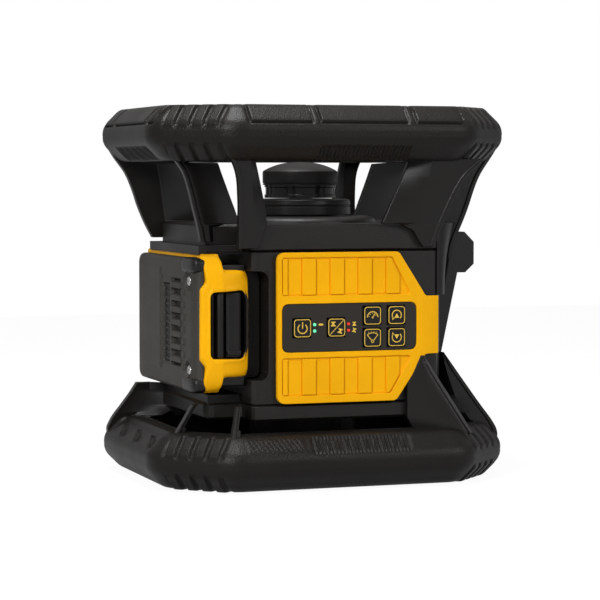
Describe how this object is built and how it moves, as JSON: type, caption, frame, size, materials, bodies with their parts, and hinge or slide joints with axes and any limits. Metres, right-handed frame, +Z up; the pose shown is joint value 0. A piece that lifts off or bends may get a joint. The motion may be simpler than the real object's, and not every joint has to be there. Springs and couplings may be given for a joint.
{
  "type": "rotating laser level",
  "caption": "Self-levelling rotating laser with a turning head between two rubber bumper rings, a key pad on yellow trim, a slide-in battery pack and a side mount.",
  "frame": {"origin": "on the ground under the turning head's axis, at the centre of the lower ring", "axes": "+Z up; the key pad faces -Y; the battery pack is on the -X side and the side mount on +X"},
  "size_m": [0.214, 0.182, 0.213],
  "materials": {
    "black_plastic": "satin, fine grain",
    "black_rubber": "matt, fine grain",
    "yellow_plastic": "satin",
    "grey_plastic": "matt, grained",
    "pad_film": "satin film",
    "steel": "turned",
    "brass": "turned",
    "glass": "clear",
    "alloy": "cast",
    "circuit_board": "solder mask"
  },
  "bodies": {
    "housing": {"lower_ring_core": "black_plastic", "upper_ring_core": "black_plastic", "upper_right_front_wing": "black_plastic", "upper_left_rear_wing": "black_plastic", "upper_left_front_wing": "black_plastic", "upper_right_rear_wing": "black_plastic", "upper_front_right_wing": "black_plastic", "upper_rear_left_wing": "black_plastic", "upper_front_left_wing": "black_plastic", "upper_rear_right_wing": "black_plastic", "lower_right_front_wing": "black_plastic", "lower_left_rear_wing": "black_plastic", "lower_left_front_wing": "black_plastic", "lower_right_rear_wing": "black_plastic", "lower_front_right_wing": "black_plastic", "lower_rear_left_wing": "black_plastic", "lower_front_left_wing": "black_plastic", "lower_rear_right_wing": "black_plastic", "main_housing": "black_plastic", "upper_housing": "black_plastic", "lower_housing": "black_plastic", "base_plate": "black_plastic", "side_mount_block": "black_plastic", "dock_terminal_block": "black_plastic", "lower_ring_overmould": "black_rubber", "upper_ring_overmould": "black_rubber", "yellow_trim": "yellow_plastic", "key_pad": "pad_film", "levelling_actuator_x": "steel", "levelling_actuator_y": "steel", "base_thread_insert": "brass", "side_thread_insert": "brass", "power_light_pipe": "glass", "slope_light_pipe": "glass", "gimbal_frame": "alloy", "control_board": "circuit_board"},
    "gimbal_ring": {"gimbal_ring": "alloy"},
    "carriage": {"laser_carriage": "alloy", "laser_module": "brass", "spin_motor": "steel", "neck_bearing": "steel", "turret_collar": "black_plastic"},
    "head": {"head_spindle": "steel", "drive_wheel": "grey_plastic", "head_window": "glass", "head_cap": "black_plastic", "beam_prism": "glass"},
    "roller": {"motor_roller": "black_rubber"},
    "battery": {"battery_base_shell": "grey_plastic", "battery_cover_shell": "yellow_plastic", "battery_cells": "alloy"},
    "latch": {"battery_latch": "black_plastic"},
    "key_power": {"key_power": "black_plastic"},
    "key_slope": {"key_slope": "black_plastic"},
    "key_speed": {"key_speed": "black_plastic"},
    "key_scan": {"key_scan": "black_plastic"},
    "key_turn_left": {"key_turn_left": "black_plastic"},
    "key_turn_right": {"key_turn_right": "black_plastic"}
  },
  "joints": [
    {"name": "level_about_x", "type": "hinge", "parent": "housing", "child": "gimbal_ring", "pos_m": [0, 0, 0.106], "axis": [1, 0, 0], "range_deg": [-5, 5]},
    {"name": "level_about_y", "type": "hinge", "parent": "gimbal_ring", "child": "carriage", "pos_m": [0, 0, 0.106], "axis": [0, 1, 0], "range_deg": [-5, 5]},
    {"name": "head_spin", "type": "hinge", "parent": "carriage", "child": "head", "pos_m": [0, 0, 0.158], "axis": [0, 0, 1], "continuous": true},
    {"name": "roller_spin", "type": "hinge", "parent": "carriage", "child": "roller", "pos_m": [0.01789, -0.01789, 0.133], "axis": [0, 0, 1], "continuous": true},
    {"name": "battery_slide", "type": "slide", "parent": "housing", "child": "battery", "axis": [0, -1, 0], "range_m": [0, 0.115]},
    {"name": "latch_press", "type": "slide", "parent": "battery", "child": "latch", "axis": [0, 1, 0], "range_m": [0, 0.003], "stiffness_N_per_m": 1500, "springref_m": -0.001},
    {"name": "key_power_press", "type": "slide", "parent": "housing", "child": "key_power", "axis": [0, 1, 0], "range_m": [0, 0.0006], "stiffness_N_per_m": 1500, "springref_m": -0.0006},
    {"name": "key_slope_press", "type": "slide", "parent": "housing", "child": "key_slope", "axis": [0, 1, 0], "range_m": [0, 0.0006], "stiffness_N_per_m": 1500, "springref_m": -0.0006},
    {"name": "key_speed_press", "type": "slide", "parent": "housing", "child": "key_speed", "axis": [0, 1, 0], "range_m": [0, 0.0006], "stiffness_N_per_m": 1500, "springref_m": -0.0006},
    {"name": "key_scan_press", "type": "slide", "parent": "housing", "child": "key_scan", "axis": [0, 1, 0], "range_m": [0, 0.0006], "stiffness_N_per_m": 1500, "springref_m": -0.0006},
    {"name": "key_turn_left_press", "type": "slide", "parent": "housing", "child": "key_turn_left", "axis": [0, 1, 0], "range_m": [0, 0.0006], "stiffness_N_per_m": 1500, "springref_m": -0.0006},
    {"name": "key_turn_right_press", "type": "slide", "parent": "housing", "child": "key_turn_right", "axis": [0, 1, 0], "range_m": [0, 0.0006], "stiffness_N_per_m": 1500, "springref_m": -0.0006}
  ],
  "couplings": [
    {"joint": "roller_spin", "follows": "head_spin", "ratio": -2.125}
  ]
}
